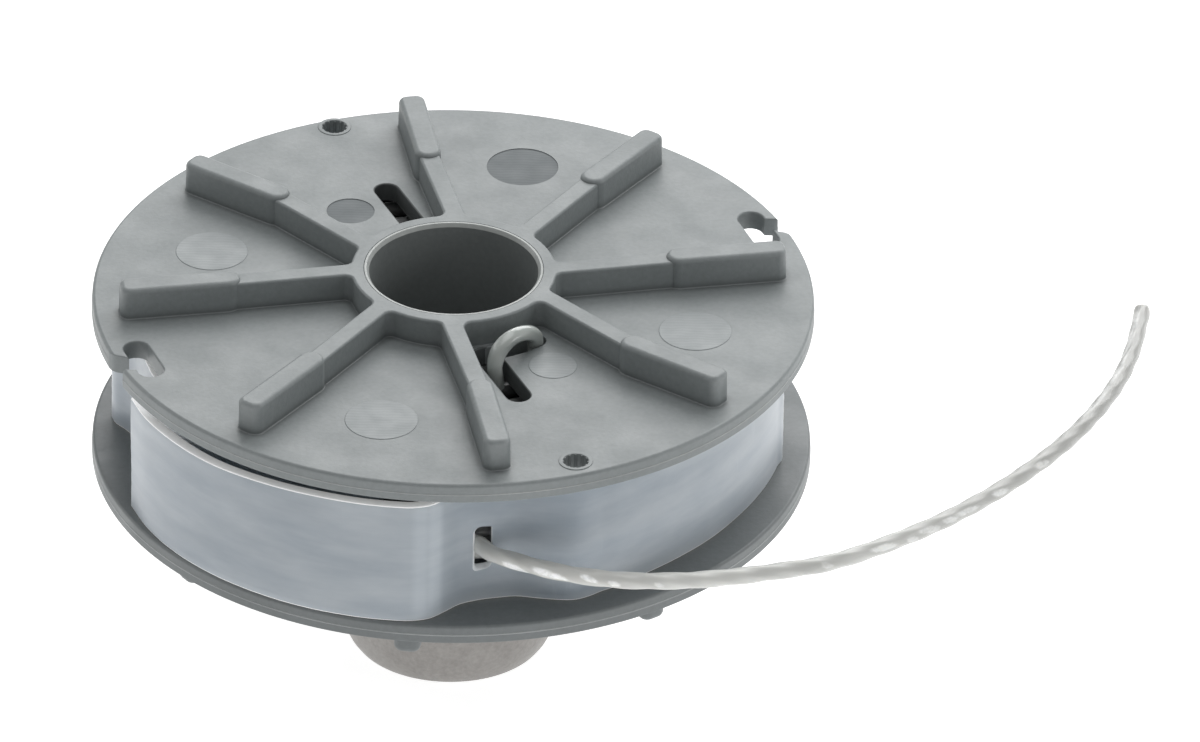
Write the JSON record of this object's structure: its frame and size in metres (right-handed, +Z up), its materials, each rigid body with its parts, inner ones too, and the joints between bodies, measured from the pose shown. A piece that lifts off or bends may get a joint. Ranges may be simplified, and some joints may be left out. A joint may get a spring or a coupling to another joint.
{
  "type": "trimmer line spool",
  "caption": "Two-flange moulded spool for a grass trimmer: ribbed flanges on a hub, metal ground knob, wound nylon line held by a clear strap, free line end out of its slot.",
  "frame": {"origin": "centre of the ground knob's flat foot, the lowest point, on the spool's axis", "axes": "+Z up along the spool's axis from the knob to the ribbed upper flange, +X to the right and -Y towards the side where the line leaves the strap"},
  "size_m": [0.1297, 0.0896, 0.0534],
  "materials": {
    "grey_moulding": "fine spark-eroded moulded surface, slightly satin",
    "knob_metal": "cast and tumbled, mottled warm grey",
    "strap_plastic": "milky translucent polyethylene strip",
    "nylon_line": "translucent drawn nylon, slightly glossy"
  },
  "bodies": {
    "spool": {"upper_flange": "grey_moulding", "lower_flange": "grey_moulding", "hub_sleeve": "grey_moulding", "ground_knob": "knob_metal", "line_winding": "nylon_line", "line_anchor_loop": "nylon_line"},
    "strap": {"retaining_strap": "strap_plastic", "line_free_end": "nylon_line"}
  },
  "joints": [
    {"name": "strap_turn", "type": "hinge", "parent": "spool", "child": "strap", "pos_m": [0, 0, 0.037], "axis": [0, 0, 1], "continuous": true}
  ]
}
